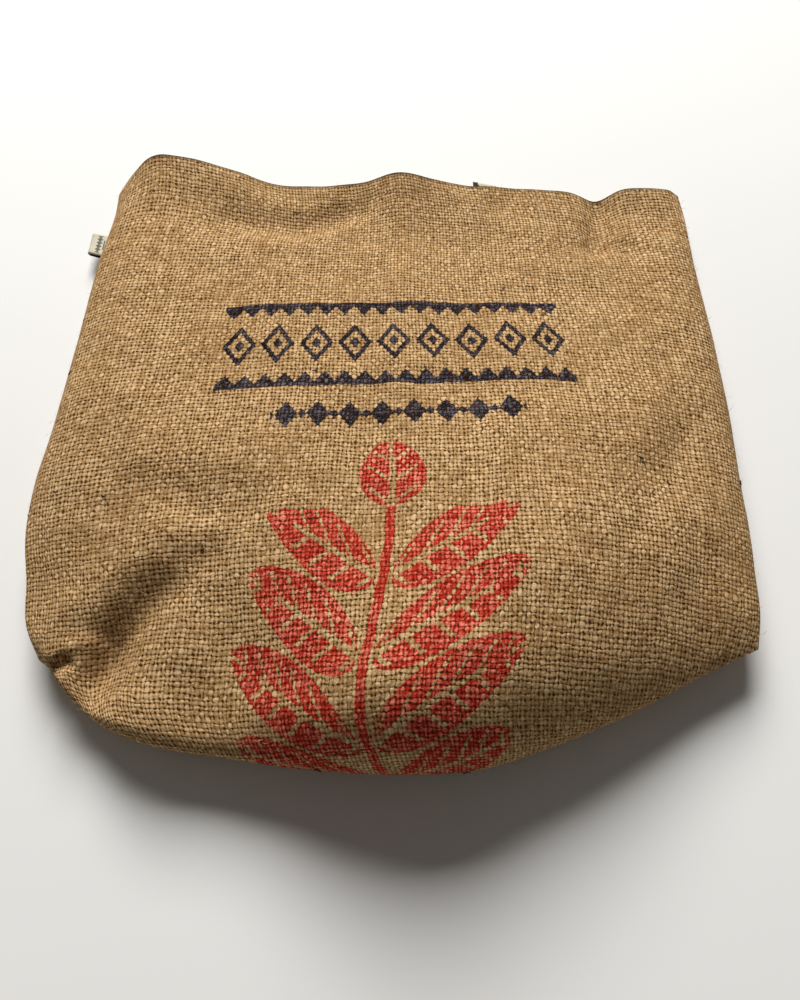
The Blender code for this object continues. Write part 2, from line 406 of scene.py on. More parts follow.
def shoulder(distance, run):
    """Rounded rise from 0 at an edge to 1 at the end of its run."""
    t = 1.0 - np.clip(distance / run, 0.0, 1.0)
    return np.sqrt(1.0 - t * t)


def crown_height(across, along):
    """Height of the front panel before its edges and folds."""
    lines = np.stack([read(CROWN, name, along) for name in Crown._fields[1:]])
    return smooth(CROWN_PLACES, lines, across)


def fold_relief(folds, x, y):
    """Ridges and troughs, where the strongest one wins."""
    ridge = np.zeros_like(x)
    trough = np.zeros_like(x)
    for fold in folds:
        run_x = fold.x1 - fold.x0
        run_y = fold.y1 - fold.y0
        t = ((x - fold.x0) * run_x + (y - fold.y0) * run_y) / (run_x ** 2 + run_y ** 2)
        t = np.clip(t, 0.0, 1.0)
        distance = np.hypot(x - fold.x0 - t * run_x, y - fold.y0 - t * run_y)
        depth = fold.depth0 + t * (fold.depth1 - fold.depth0)
        relief = depth * np.exp(-((distance / fold.width) ** 2))
        ridge = np.maximum(ridge, relief)
        trough = np.minimum(trough, relief)
    return ridge + trough


def rumple(x, y):
    """Slight unevenness of slack cloth: low waves in many directions."""
    chance = np.random.default_rng(RUMPLE_SEED)
    total = np.zeros_like(x)
    for length, height in RUMPLES:
        for turn in chance.uniform(0, 2 * math.pi, RUMPLE_WAYS):
            way = (x * math.cos(turn) + y * math.sin(turn)) * 2 * math.pi / length
            total += height * 0.5 * np.sin(way + chance.uniform(0, 2 * math.pi))
    return total


def panels(across, along):
    """Plan position and the heights of the front and back panels, outer faces."""
    left = read(SIDES, "left", along)
    right = read(SIDES, "right", along)
    rim_y = read(RIM, "y", across)
    over_tape = step((across - TAPE_FROM) / TAPE_COMES_IN)
    over_tape = over_tape * (1 - step((across - TAPE_TO) / TAPE_GOES_OUT))
    rim_y = rim_y + TAPE_PUSHES_RIM * over_tape
    end_y = read(BOTTOM_END, "y", across)
    x = left + across * (right - left)
    y = rim_y + along * (end_y - rim_y)
    to_end = step((along - BOTTOM_FROM) / BOTTOM_RUN)
    side_edge = read(SIDES, "edge", along)
    edge = side_edge + to_end * (read(BOTTOM_END, "edge", across) - side_edge)

    from_left = x - left
    from_right = right - x
    from_end = y - end_y
    from_rim = rim_y - y
    sides = shoulder(from_left, read(SIDES, "left_rise", along))
    sides = sides * shoulder(from_right, read(SIDES, "right_rise", along))
    closed = sides * shoulder(from_end, read(BOTTOM_END, "rise", across))
    height = crown_height(across, along)
    rim_lift = read(RIM, "lift", across) - crown_height(across, np.zeros_like(along))
    height = height + rim_lift * np.exp(-((from_rim / RIM_LIFT_FADES) ** 2))
    height = height + fold_relief(FOLDS, x, y) + fold_relief(CREASES, x, y) + rumple(x, y)
    front = edge + (height - edge) * closed

    grounded = shoulder(from_left, edge) * shoulder(from_right, edge)
    grounded = grounded * shoulder(from_end, read(BOTTOM_END, "tuck", across))
    back = edge * (1.0 - grounded)
    return x, y, front, back, from_rim


def spaced(*runs):
    """Mesh lines from 0: each run goes on to its place with that many even steps."""
    lines = [0.0]
    for reach, steps in runs:
        lines.extend(np.linspace(lines[-1], reach, steps + 1)[1:])
    return np.array(lines)


# Mesh lines lie close together at the rounded edges and at the pinched left corner.
COLUMNS = spaced((0.003, 2), (0.019, 5), (0.060, 14), (0.160, 33), (0.938, 117), (0.981, 12),
                 (0.997, 4), (1.0, 2))
ROWS = spaced((0.76, 96), (0.93, 42), (0.978, 14), (0.997, 6), (1.0, 2))
INNER_STEP = 3

# The wefts lie level at this height from this far in, and the threads are evened out over their
# neighbours. The roll of the rim is coloured paler over a short run.
WEFTS_LEVEL = 188.0
WEFTS_LEVEL_AFTER = 110.0
WARP_EVENING, WEFT_EVENING = 90, 12
RIM_NEAR_OVER = 2.2


def arc(points, axis):
    """Length along the mesh lines of one direction, from the first one."""
    steps = np.linalg.norm(np.diff(points, axis=axis), axis=-1)
    start = np.zeros_like(np.take(steps, [0], axis=axis))
    return np.concatenate((start, np.cumsum(steps, axis=axis)), axis=axis)


def evened(values, passes):
    """Values evened out along the first axis, each with its neighbours."""
    for _ in range(passes):
        values[1:-1] = values[1:-1] / 2 + (values[:-2] + values[2:]) / 4
    return values


def body_skin():
    """The whole bag as one closed cloth: a fine outer skin and a coarser inner one."""
    across, along = np.meshgrid(COLUMNS, ROWS)
    x, y, front, back, from_rim = panels(across, along)
    last_row, last_column = len(ROWS) - 1, len(COLUMNS) - 1
    top = np.stack((x, y, front), axis=-1)
    under = np.stack((x, y, back), axis=-1)

    # the threads: warp ends spread evenly over each row, and wefts follow the rim at
    # the mouth but lie level below it
    def threads(points):
        width = arc(points, 1)
        run = arc(points, 0)
        level = (WEFTS_LEVEL - y[:1]) * step(run / WEFTS_LEVEL_AFTER)
        shared = evened(width / width[:, -1:], WARP_EVENING)
        lengthwise = evened((run + level).T, WEFT_EVENING).T
        return np.stack((shared * CLOTH_WIDTH, lengthwise), axis=-1)

    front_uv = threads(top)
    back_uv = threads(under)
    back_uv[..., 1] = front_uv[-1:, :, 1] + back_uv[-1:, :, 1] - back_uv[..., 1]

    skin = bmesh.new()
    weave = skin.loops.layers.uv.new("cloth")
    worn = skin.verts.layers.float.new("worn")

    def grid(points):
        """New points of the skin."""
        return [[skin.verts.new(Vector(points[r, c]) * MM) for c in range(points.shape[1])]
                for r in range(points.shape[0])]

    def tile(verts, uvs, flip):
        """Faces between them, with their places on the cloth."""
        for r in range(len(verts) - 1):
            for c in range(len(verts[0]) - 1):
                corners = [(r, c), (r + 1, c), (r + 1, c + 1), (r, c + 1)]
                if flip:
                    corners.reverse()
                face = skin.faces.new([verts[i][j] for i, j in corners])
                for loop, (i, j) in zip(face.loops, corners):
                    loop[weave].uv = Vector(uvs[i, j]) * MM

    def close(above, points_under):
        """Points of the back panel, which shares the front's side folds and bottom end."""
        last_r, last_c = len(above) - 1, len(above[0]) - 1
        return [[above[r][c] if c in (0, last_c) or r == last_r
                 else skin.verts.new(Vector(points_under[r, c]) * MM)
                 for c in range(last_c + 1)] for r in range(last_r + 1)]

    top_verts = grid(top)
    under_verts = close(top_verts, under)
    for verts in (top_verts, under_verts):
        for row_of_verts, row_from_rim in zip(verts, from_rim):
            for vert, distance in zip(row_of_verts, row_from_rim):
                vert[worn] = math.exp(-((distance / RIM_NEAR_OVER) ** 2))
    tile(top_verts, front_uv, False)
    tile(under_verts, back_uv, True)

    # the inner skin, on every third line, set in by the cloth's or the hem's thickness
    skin.normal_update()
    rows_in = [*range(0, last_row, INNER_STEP), last_row]
    columns_in = [*range(0, last_column, INNER_STEP), last_column]
    from_side = np.minimum(x - x[:, :1], x[:, -1:] - x)
    doubled = np.clip(from_side / HEM_THINS_OVER, 0, 1) * (from_rim < HEM_DEPTH)
    thickness = CLOTH_THICKNESS + doubled * (HEM_THICKNESS - CLOTH_THICKNESS)

    def inner(verts):
        """Places of the inner skin under a panel."""
        return np.array([[np.array(verts[r][c].co) / MM
                          - np.array(verts[r][c].normal) * thickness[r, c]
                          for c in columns_in] for r in rows_in])

    in_top = inner(top_verts)
    in_under = inner(under_verts)
    in_top_verts = grid(in_top)
    in_under_verts = close(in_top_verts, in_under)
    uv_top = front_uv[np.ix_(rows_in, columns_in)]
    uv_under = back_uv[np.ix_(rows_in, columns_in)]
    tile(in_top_verts, uv_top, True)
    tile(in_under_verts, uv_under, False)

    def rim(outer, inside, uv, runs_on, flip):
        """The rolled rim between the two skins of a panel. Its map runs on past the edge."""
        folded = uv + (0, runs_on)
        for k in range(len(columns_in) - 1):
            low, high = columns_in[k], columns_in[k + 1]
            edge = [(outer[c], uv[c]) for c in range(low, high + 1)]
            ends = [(inside[k], folded[low]), (inside[k + 1], folded[high])]
            middle = len(edge) // 2
            fans = [(edge[n], edge[n + 1], ends[n >= middle]) for n in range(len(edge) - 1)]
            fans.append((edge[middle], ends[1], ends[0]))
            for fan in fans:
                fan = fan if flip else fan[::-1]
                face = skin.faces.new([vert for vert, _ in fan])
                for loop, (_, place) in zip(face.loops, fan):
                    loop[weave].uv = Vector(place) * MM

    rim(top_verts[0], in_top_verts[0], front_uv[0], -HEM_THICKNESS, False)
    rim(under_verts[0], in_under_verts[0], back_uv[0], HEM_THICKNESS, True)

    bmesh.ops.translate(skin, verts=skin.verts, vec=Vector((*STANDS_AT, 0)) * MM)
    for face in skin.faces:
        face.smooth = True
    mesh = bpy.data.meshes.new("bag_cloth")
    skin.to_mesh(mesh)
    skin.free()
    return mesh


bag = add_object("bag_cloth", body_skin())

# Jute: tan yarns of uneven thickness in plain weave, with a painted highlight where a yarn comes
# over and painted shade in the gaps between them. Lengths count yarns, unless they end in MM.
WARP_PITCH = 2.31 * MM
WEFT_PITCH = 2.77 * MM
WARP_SPREAD = 0.02
TWIST = 0.28
WANDER = 1.1
JOSTLE = 0.95
WARP_WIDTH, WEFT_WIDTH, WIDTH_VARIES = 0.86, 0.90, 0.8
ROUND, LIFT, PROUD = 0.4, 0.5, 0.2
HOLE_SHARP = 1.3
HOLE_OPEN, HOLE_VARIES, HOLE_PATCHY = 0.80, 3.2, 1.6
HOLE_DEPTH = 0.6
GRIT_HEIGHT = 0.5
RELIEF = 0.4 * MM

jute = Finish("jute_weave")
cloth, u, v = jute.flat_map("cloth")


def uneven(along, across, layer, **kind):
    """Noise about 0 over the yarns. Each use has its own layer of the noise."""
    return jute.noise(jute.vector(along, across, layer), **kind) - 0.5


# Counts of warp ends and weft picks, first drifting slowly, then jostled yarn by yarn.
# Each noise changes fast from yarn to yarn and slowly along one.
bulge = (u * (2 * math.pi / (CLOTH_WIDTH * MM))).sin() * (WARP_SPREAD * CLOTH_WIDTH * MM)
ends = (u - bulge) * (1 / WARP_PITCH)
picks = v * (1 / WEFT_PITCH)
ends = ends + uneven(ends * 0.33, picks * 0.05, 3.0) * WANDER
picks = picks + uneven(ends * 0.05, picks * 0.33, 8.0) * WANDER
shift_u = uneven(ends * 0.85, picks * 0.5, 12.0) * JOSTLE
shift_v = uneven(ends * 0.5, picks * 0.85, 15.0) * JOSTLE
ends = ends + shift_u
picks = picks + shift_v
end = ends.floor()
pick = picks.floor()
beside_end = ends - end - 0.5
beside_pick = picks - pick - 0.5

# each yarn is round and rises over every second one that it crosses
warp_width = WARP_WIDTH + uneven(end * 3.17, picks * 0.16, 1.0) * WIDTH_VARIES
weft_width = WEFT_WIDTH + uneven(ends * 0.16, pick * 3.17, 5.0) * WIDTH_VARIES
over = 1 - ((end + pick) * 0.5).fract() * 4
proud = ((jute.noise(cloth, scale=28.0, detail=2.0) - 0.5) * 4 + 0.3).least(0.9).most(-0.7)
warp_round = (1 - ((beside_end + beside_pick * TWIST) * 2 / warp_width) ** 2).most(-1)
weft_round = (1 - ((beside_pick + beside_end * TWIST) * 2 / weft_width) ** 2).most(-1)
warp_lift = over * (beside_pick * math.pi).cos()
weft_lift = over * (beside_end * math.pi).cos() * -1
warp_height = warp_round * ROUND + warp_lift * LIFT + proud * PROUD
weft_height = weft_round * ROUND + weft_lift * LIFT - proud * PROUD
on_top = warp_height > weft_height

# the holes between four yarns, some open and some felted shut
patch = jute.noise(cloth, scale=22.0, detail=3.0) - 0.5
corner = (abs(beside_end) * abs(beside_pick) * 4) ** HOLE_SHARP
openness = uneven(ends * 0.83, picks * 0.83, 6.0)
hole = jute.step(corner * (HOLE_OPEN + openness * HOLE_VARIES + patch * HOLE_PATCHY), 0.10, 0.80)
grit = jute.noise(cloth, scale=1000.0, detail=2.0, roughness=0.6) - 0.5
height = warp_height.most(weft_height) - hole * HOLE_DEPTH + grit * GRIT_HEIGHT

# the tone of the yarn on top: each yarn, each float and each fibre has its own
run = jute.pick(on_top, ends, picks)
beside = jute.pick(on_top, beside_pick, beside_end)
yarn = jute.pick(on_top, pick + 311, end)
tone = uneven(yarn * 5.31, run * 0.09, 2.0, detail=2.0)
float_tone = jute.node("ShaderNodeTexWhiteNoise", {"noise_dimensions": "2D"},
                       {"Vector": jute.vector(end + 0.5, pick + 0.5)})
strand = uneven(beside * 2.6 + run * 0.9, run * 1.1, yarn * 3.7, detail=3.0, roughness=0.7)
# painted highlight on the crest of each float, with painted shade down its sides and ends
crest_highlight = (jute.pick(on_top, weft_round, warp_round) * 0.26
         + jute.pick(on_top, weft_lift, warp_lift) * 0.32
         + jute.pick(on_top, proud * -0.15, proud * 0.15))

# the roll of the rim is coloured paler, with less painted shade in its holes and a lower relief
rim_paling = jute.node("ShaderNodeAttribute", {"attribute_name": "worn"}, out="Fac")
# painted light over the yarns' own tone: the crests painted lighter, the holes painted dark as
# shade
light = (0.34 + crest_highlight * 0.78
         - hole * (1 - rim_paling * 0.8) * 0.70
         + rim_paling * 0.20
         + tone * 0.46
         + strand * 1.0
         + grit * 1.1
         + (float_tone - 0.5) * 0.27
         + patch * 0.28)
# the darkest colour is painted shade in the gaps and holes, the next painted shade low on the
# yarns, and the palest a painted highlight on the crests
GAP_SHADE = (0.100, 0.042, 0.010)
SHADED = (0.215, 0.108, 0.034)
YARN = (0.405, 0.238, 0.100)
HIGHLIGHT_TAN = (0.760, 0.530, 0.290)
colour = jute.blend(jute.step(light, -0.05, 0.25), GAP_SHADE, SHADED)
colour = jute.blend(jute.step(light, 0.16, 0.56), colour, YARN)
colour = jute.blend(jute.step(light, 0.54, 1.02), colour, HIGHLIGHT_TAN)

# Printed in two inks, which sit on the yarns and leave the gaps bare. An edge runs
# from yarn to yarn rather than through them. Places are in millimetres on the cloth.
FOLLOWS_YARN = 0.35
print_u = (u - beside_end * (WARP_PITCH * FOLLOWS_YARN)) * (1 / MM)
print_v = (v - beside_pick * (WEFT_PITCH * FOLLOWS_YARN)) * (1 / MM)


def cell(place, pitch):
    """Distance from the middle of a repeat."""
    return ((place * (1 / pitch)).fract() - 0.5) * pitch


def within(place, low, high):
    """1 where a place lies between two limits."""
    return (place > low) * (place < high)


def lozenge(across, down, half_across, half_down):
    """Grows from 0 at the middle of a lozenge to 1 at its edge."""
    return abs(across) * (1 / half_across) + abs(down) * (1 / half_down)


# the border: lozenges between two saw-toothed rules, over a short row of solid
# lozenges; RULE and TEETH are distances from its middle line
BORDER_AT = (104.0, 126.0)
BORDER_TURN = math.radians(2.1)
BORDER_WIDTH = 195.0
BORDER_MIDDLE = 39
LOZENGE_PITCH = BORDER_WIDTH / 9
LOZENGE_HALF = (9.6, 17.0)
LOZENGE_HOLLOW, LOZENGE_EYE = 0.66, 0.30
RULE = (32.5, 36.0)
TEETH = (22.0, 33.0)
TOOTH = 9
TOOTH_REACH = 0.9
SHORT_ROW = (32.0, 164.0)
SHORT_ROW_MIDDLE = 97
SHORT_PITCH = 16.5
SHORT_BIG, SHORT_SMALL = (6.2, 9.5), (2.4, 3.6)
off_u = print_u - BORDER_AT[0]
off_v = print_v - BORDER_AT[1]
border_a = off_u * math.cos(BORDER_TURN) - off_v * math.sin(BORDER_TURN)
border_b = off_u * math.sin(BORDER_TURN) + off_v * math.cos(BORDER_TURN)
diamond = lozenge(cell(border_a, LOZENGE_PITCH), border_b - BORDER_MIDDLE, *LOZENGE_HALF)
lozenges = within(diamond, LOZENGE_HOLLOW, 1.0).most(diamond < LOZENGE_EYE)
tooth = TOOTH - abs(cell(border_a, LOZENGE_PITCH / 2)) * (4 * TOOTH / LOZENGE_PITCH)
from_middle = abs(border_b - BORDER_MIDDLE)
rules = within(from_middle, *RULE)
teeth = within(from_middle, *TEETH) * ((RULE[0] - from_middle) < tooth * TOOTH_REACH)
from_row = border_b - SHORT_ROW_MIDDLE
along_row = border_a - SHORT_ROW[0]
big = lozenge(cell(along_row, SHORT_PITCH), from_row, *SHORT_BIG) < 1
small = lozenge(cell(along_row - SHORT_PITCH / 2, SHORT_PITCH), from_row, *SHORT_SMALL) < 1
short = big.most(small) * within(border_a, *SHORT_ROW)
navy = (lozenges.most(rules).most(teeth) * within(border_a, 0, BORDER_WIDTH)).most(short)

# the sprig: a bent stem with four pairs of veined leaves, a tip leaf and berries;
# STEM is how far it rises from its middle, and TIP_FROM where the tip leaf begins
SPRIG_AT = (199.0, 338.0)
STEM = (-150, 54)
STEM_HALF = 2.2
STEM_SWAY, STEM_SWAYS_OVER = 5, 38
LEAF_PITCH = 42.0
LEAF_LEAN = math.radians(37)
FIRST_LEAF = -74.0
LEAF_ROWS = (-1.5, 2.5)
LEAF_OFF_STEM = 4
LEAF_LENGTH, LEAF_SHORTENS = 82, 5
LEAF_HALF = 36.5
TIP_FROM, TIP_LENGTH = 53, 44
VEIN_PITCH, VEIN_GAP, VEIN_SLANT = 13.5, 0.18, 0.95
LEAF_EDGE = 0.80
BERRY_ROWS = (-0.5, 2.5)
BERRY_OUT, BERRY_STEPS_IN = 70, 4
BERRY_SIZE = 28
rise = SPRIG_AT[1] - print_v
sway = (rise * (1 / STEM_SWAYS_OVER)).sin() * STEM_SWAY
beside_stem = abs(print_u - SPRIG_AT[0] - sway)
on_stem = rise - beside_stem * math.tan(LEAF_LEAN)
order = ((on_stem - FIRST_LEAF) * (1 / LEAF_PITCH) + 0.5).floor()
leaf_across = (on_stem - FIRST_LEAF - order * LEAF_PITCH) * math.cos(LEAF_LEAN)
leaf_length = LEAF_LENGTH - abs(order) * LEAF_SHORTENS
leaf_along = (beside_stem * (1 / math.cos(LEAF_LEAN)) - LEAF_OFF_STEM) / leaf_length
tip_along = (rise - STEM[1]) * (1 / TIP_LENGTH)
is_tip = rise > TIP_FROM
leaf_along = jute.pick(is_tip, leaf_along, tip_along)
leaf_across = jute.pick(is_tip, leaf_across, beside_stem)
leaf_length = jute.pick(is_tip, leaf_length, TIP_LENGTH)
leaf_half = ((leaf_along.most(0) * (1 - leaf_along).most(0)) ** 0.60
             * LEAF_HALF * (1.15 - leaf_along * 0.3))
in_leaf = (abs(leaf_across) < leaf_half) * within(order, *LEAF_ROWS).most(is_tip)
midrib = abs(leaf_across) > (2.0 - leaf_along * 1.2)
down_vein = leaf_along * leaf_length - abs(leaf_across) * VEIN_SLANT
vein = (down_vein * (1 / VEIN_PITCH)).fract() > VEIN_GAP
leaves = in_leaf * midrib * (vein.most(abs(leaf_across) > leaf_half * LEAF_EDGE))
stem = (beside_stem < STEM_HALF) * within(rise, *STEM)
between = cell(on_stem - FIRST_LEAF - LEAF_PITCH / 2, LEAF_PITCH) * math.cos(LEAF_LEAN)
out_to = beside_stem * (1 / math.cos(LEAF_LEAN)) - BERRY_OUT + order * BERRY_STEPS_IN
berries = ((between * between + out_to * out_to) < BERRY_SIZE) * within(order, *BERRY_ROWS)
red = leaves.most(stem).most(berries)

# each ink in three shades: painted shade for the gaps, the ink's middle, and a painted highlight
# for the crests
NAVY_INK = ((0.002, 0.001, 0.002), (0.011, 0.008, 0.013), (0.160, 0.138, 0.152))
RED_INK = ((0.165, 0.001, 0.001), (0.430, 0.022, 0.012), (0.840, 0.310, 0.200))
INK_COVERS = 0.995
cover = jute.step(height + strand * 0.7 + patch * 0.8, -0.45, 0.12)


def ink(shades):
    """Ink with painted shade in the gaps and a painted highlight on the crests, picked by the
    painted light.
    """
    low = jute.blend(jute.step(light, 0.05, 0.50), shades[0], shades[1])
    return jute.blend(jute.step(light, 0.50, 1.10), low, shades[2])


colour = jute.blend(navy * cover * INK_COVERS, colour, ink(NAVY_INK))
colour = jute.blend(red * cover * INK_COVERS, colour, ink(RED_INK))
jute.set(Base_Color=colour, Roughness=0.86 - strand * 0.12, Specular_IOR_Level=0.03)
jute.bump((height + strand * 0.35) * (1 - rim_paling * 0.6), RELIEF)
bag.data.materials.append(jute.material)
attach(bag, "root")
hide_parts("bag_body")


# ---------------------------------------------------------------- loose fibres and bark
# Jute sheds: short pale fibres stand out of the yarns all over, and brown slivers of
# bark are spun in with them here and there. Places of bark are in millimetres on the
# cloth.
OUTER_FACES = 2 * (len(ROWS) - 1) * (len(COLUMNS) - 1)
BARK_PLACES = (
    (121, 27.5), (136, 24.9), (127.4, 66.2), (237.6, 55.9), (297, 21.3), (299.7, 55.3),
    (314.4, 34.3), (289.2, 63), (282.2, 105), (351.2, 58.8), (345, 262.4), (354.8, 259.2),
    (331, 272), (369.9, 319.2), (388.1, 319.1), (357.5, 220.6), (59.6, 267.9), (113.1, 301.1),
)
BARK_ELSEWHERE = 70
BARK_SEED = 11
FIBRES_FROM = 5.5
FIBRE_COLOURS = ((0.30, 0.17, 0.07), (0.80, 0.60, 0.36))
BARK_COLOURS = ((0.025, 0.011, 0.005), (0.15, 0.070, 0.030))
SLIVER_SIDES = 3
SLIVER_STEPS = 5
SLIVER_INPUTS = {
    "Where": "NodeSocketString",
    "Per square metre": "NodeSocketFloat",
    "Length": "NodeSocketFloat",
    "Thickness": "NodeSocketFloat",
    "Arch": "NodeSocketFloat",
    "Stands up": "NodeSocketFloat",
    "Seed": "NodeSocketInt",
    "Finish": "NodeSocketMaterial",
}

corner_places = np.empty(len(bag.data.loops) * 2)
bag.data.uv_layers["cloth"].data.foreach_get("uv", corner_places)
face_places = corner_places[:OUTER_FACES * 8].reshape(-1, 4, 2).mean(axis=1) / MM
face_areas = np.empty(len(bag.data.polygons))
bag.data.polygons.foreach_get("area", face_areas)
face_share = face_areas[:OUTER_FACES] / face_areas[:OUTER_FACES].sum()
barky = {int(np.hypot(*(face_places - place).T).argmin()) for place in BARK_PLACES}
chance = np.random.default_rng(BARK_SEED)
barky.update(chance.choice(OUTER_FACES, BARK_ELSEWHERE, p=face_share).tolist())
face_middles = np.empty(len(bag.data.polygons) * 3)
bag.data.polygons.foreach_get("center", face_middles)
off_floor = np.flatnonzero(face_middles[2::3][:OUTER_FACES] > FIBRES_FROM * MM)
barky &= set(off_floor.tolist())
for mark_name, marked in (("outside", off_floor), ("barky", list(barky))):
    marks = np.zeros(len(bag.data.polygons), int)
    marks[marked] = 1
    bag.data.attributes.new(mark_name, "INT", "FACE").data.foreach_set("value", marks)

slivers = bpy.data.node_groups.new("slivers_on_cloth", "GeometryNodeTree")
slivers.interface.new_socket("Cloth", in_out="INPUT", socket_type="NodeSocketGeometry")
slivers.interface.new_socket("Slivers", in_out="OUTPUT", socket_type="NodeSocketGeometry")
sliver_ids = {}
for name, kind in SLIVER_INPUTS.items():
    socket = slivers.interface.new_socket(name, in_out="INPUT", socket_type=kind)
    sliver_ids[name] = socket.identifier
given = slivers.nodes.new("NodeGroupInput").outputs


def grow(kind, settings=None, sockets=None, out=0):
    """Adds a node to the tree of slivers and returns an output of it, or several."""
    made = slivers.nodes.new(kind)
    for name, value in (settings or {}).items():
        setattr(made, name, value)
    for name, value in (sockets or {}).items():
        shown = [socket for socket in made.inputs if socket.enabled]
        if isinstance(name, int):
            socket = shown[name]
        else:
            socket = next(known for known in shown if known.name == name)
        if isinstance(value, bpy.types.NodeSocket):
            slivers.links.new(value, socket)
        else:
            socket.default_value = value
    shown = [socket for socket in made.outputs if socket.enabled]
    if isinstance(out, tuple):
        return [next(known for known in shown if known.name == name) for name in out]
    return shown[out]


chosen = grow("GeometryNodeInputNamedAttribute", {"data_type": "INT"}, {"Name": given["Where"]})
roots, facing = grow("GeometryNodeDistributePointsOnFaces", None,
                     {"Mesh": given["Cloth"], "Selection": chosen,
                      "Density": given["Per square metre"], "Seed": given["Seed"]},
                     out=("Points", "Rotation"))

# one sliver: a bent line that swells and thins again, with a small ring run along it
middle = grow("ShaderNodeCombineXYZ", None, {"X": 0.5, "Y": 0.22, "Z": given["Arch"]})
line = grow("GeometryNodeCurveQuadraticBezier", None,
            {"Resolution": SLIVER_STEPS, "Start": (0, 0, -0.04), "Middle": middle,
             "End": (1, 0, 0.05)})
along_sliver = grow("GeometryNodeSplineParameter")
taper = grow("ShaderNodeMath", {"operation": "MULTIPLY"}, {0: along_sliver, 1: 0.85 * math.pi})
taper = grow("ShaderNodeMath", {"operation": "ADD"}, {0: taper, 1: 0.1 * math.pi})
taper = grow("ShaderNodeMath", {"operation": "SINE"}, {0: taper})
tapered = grow("GeometryNodeSetCurveRadius", None, {"Curve": line, "Radius": taper})
half_thick = grow("ShaderNodeMath", {"operation": "DIVIDE"},
                  {0: given["Thickness"], 1: given["Length"]})
half_thick = grow("ShaderNodeMath", {"operation": "MULTIPLY"}, {0: half_thick, 1: 0.5})
ring = grow("GeometryNodeCurvePrimitiveCircle", None,
            {"Resolution": SLIVER_SIDES, "Radius": half_thick})
sliver = grow("GeometryNodeCurveToMesh", None,
              {"Curve": tapered, "Profile Curve": ring, "Fill Caps": True})

# each is turned and leant by chance, and is longer or shorter than the stated length
chances = grow("FunctionNodeRandomValue", {"data_type": "FLOAT_VECTOR"}, {"Seed": given["Seed"]})
lean = grow("ShaderNodeMath", {"operation": "MULTIPLY"}, {0: given["Stands up"], 1: -1.0})
spread = grow("ShaderNodeCombineXYZ", None, {"X": 0.6, "Y": lean, "Z": 2 * math.pi})
turn = grow("ShaderNodeVectorMath", {"operation": "MULTIPLY"}, {0: chances, 1: spread})
turn = grow("FunctionNodeEulerToRotation", None, {"Euler": turn})
turn = grow("FunctionNodeRotateRotation", {"rotation_space": "LOCAL"},
            {"Rotation": facing, "Rotate By": turn})
size = grow("FunctionNodeRandomValue", {"data_type": "FLOAT"},
            {"Min": 0.45, "Max": 1.5, "Seed": 7})
size = grow("ShaderNodeMath", {"operation": "MULTIPLY"}, {0: size, 1: given["Length"]})
scattered = grow("GeometryNodeInstanceOnPoints", None,
                 {"Points": roots, "Instance": sliver, "Rotation": turn, "Scale": size})
scattered = grow("GeometryNodeRealizeInstances", None, {"Geometry": scattered})
scattered = grow("GeometryNodeSetMaterial", None,
                 {"Geometry": scattered, "Material": given["Finish"]})
slivers.links.new(scattered, slivers.nodes.new("NodeGroupOutput").inputs["Slivers"])


def scatter(name, **values):
    """Scatters slivers over the bag's cloth and returns them as one plain mesh object."""
    carrier = add_object(name + "_carrier", bag.data)
    layer = carrier.modifiers.new("slivers", "NODES")
    layer.node_group = slivers
    for label, value in values.items():
        layer[sliver_ids[label.replace("_", " ")]] = value
    solved = carrier.evaluated_get(bpy.context.evaluated_depsgraph_get())
    mesh = bpy.data.meshes.new_from_object(solved)
    bpy.data.objects.remove(carrier)
    mesh.name = name
    return add_object(name, mesh)


fibre_finish = Finish("jute_fibre")
fibre_place = fibre_finish.node("ShaderNodeTexCoord", out="Object")
fibre_mottle = fibre_finish.noise(fibre_place, scale=160.0)
fibre_finish.set(Base_Color=fibre_finish.blend(fibre_mottle, *FIBRE_COLOURS),
                 Roughness=0.8, Specular_IOR_Level=0.2)
bark_finish = Finish("jute_bark")
bark_place = bark_finish.node("ShaderNodeTexCoord", out="Object")
bark_mottle = bark_finish.noise(bark_place, scale=120.0)
bark_finish.set(Base_Color=bark_finish.blend(bark_mottle, *BARK_COLOURS),
                Roughness=0.75, Specular_IOR_Level=0.3)
fuzz = scatter("loose_fibres", Where="outside", Per_square_metre=9000.0, Length=3.4 * MM,
               Thickness=0.11 * MM, Arch=0.30, Stands_up=0.8, Seed=3, Finish=fibre_finish.material)
bark = scatter("bark_slivers", Where="barky", Per_square_metre=260000.0, Length=2.3 * MM,
               Thickness=0.62 * MM, Arch=0.03, Stands_up=0.05, Seed=5, Finish=bark_finish.material)
for shed in (fuzz, bark):
    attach(shed, "root")
    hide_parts("bag_body")


# ---------------------------------------------------------------- side label
# A small cream woven tape, folded double and caught in the left side seam. It bears a row of small
# lozenges. Its lower layer is coloured dark from just past the fold, and shows past the near edge.
TAPE_THICKNESS = 0.6
LABEL_FAR_FOLD = (-212.1, 155.9)
LABEL_NEAR_FOLD = (-212.2, 137.3)
LABEL_NEAR_SEAM = (-201.0, 133.9)
LABEL_FAR_SEAM = (-199.6, 152.9)
LABEL_IN_SEAM = 1.25
LABEL_MIDDLE = 10.4
LABEL_GAP = 0.75
LABEL_LENGTH, LABEL_WIDTH = 28.0, 18.6
LABEL_CURL = 0.5
LABEL_FOLD_SHARE = 0.10
UNDERSIDE_FROM = 15.2
MARKS_ALONG, MARKS_ACROSS = 7.9, 9.3
MARK_PITCH, MARK_ROW_HALF = 3.1, 7.75
STRIPE_ALONG, STRIPE_HALF = 4.6, (0.45, 4.2)
CREAM = (0.70, 0.655, 0.52)
CREAM_SHADED = (0.47, 0.43, 0.31)
PRINT_DARK = (0.075, 0.080, 0.062)
UNDERSIDE_DARK = (0.030, 0.026, 0.022)


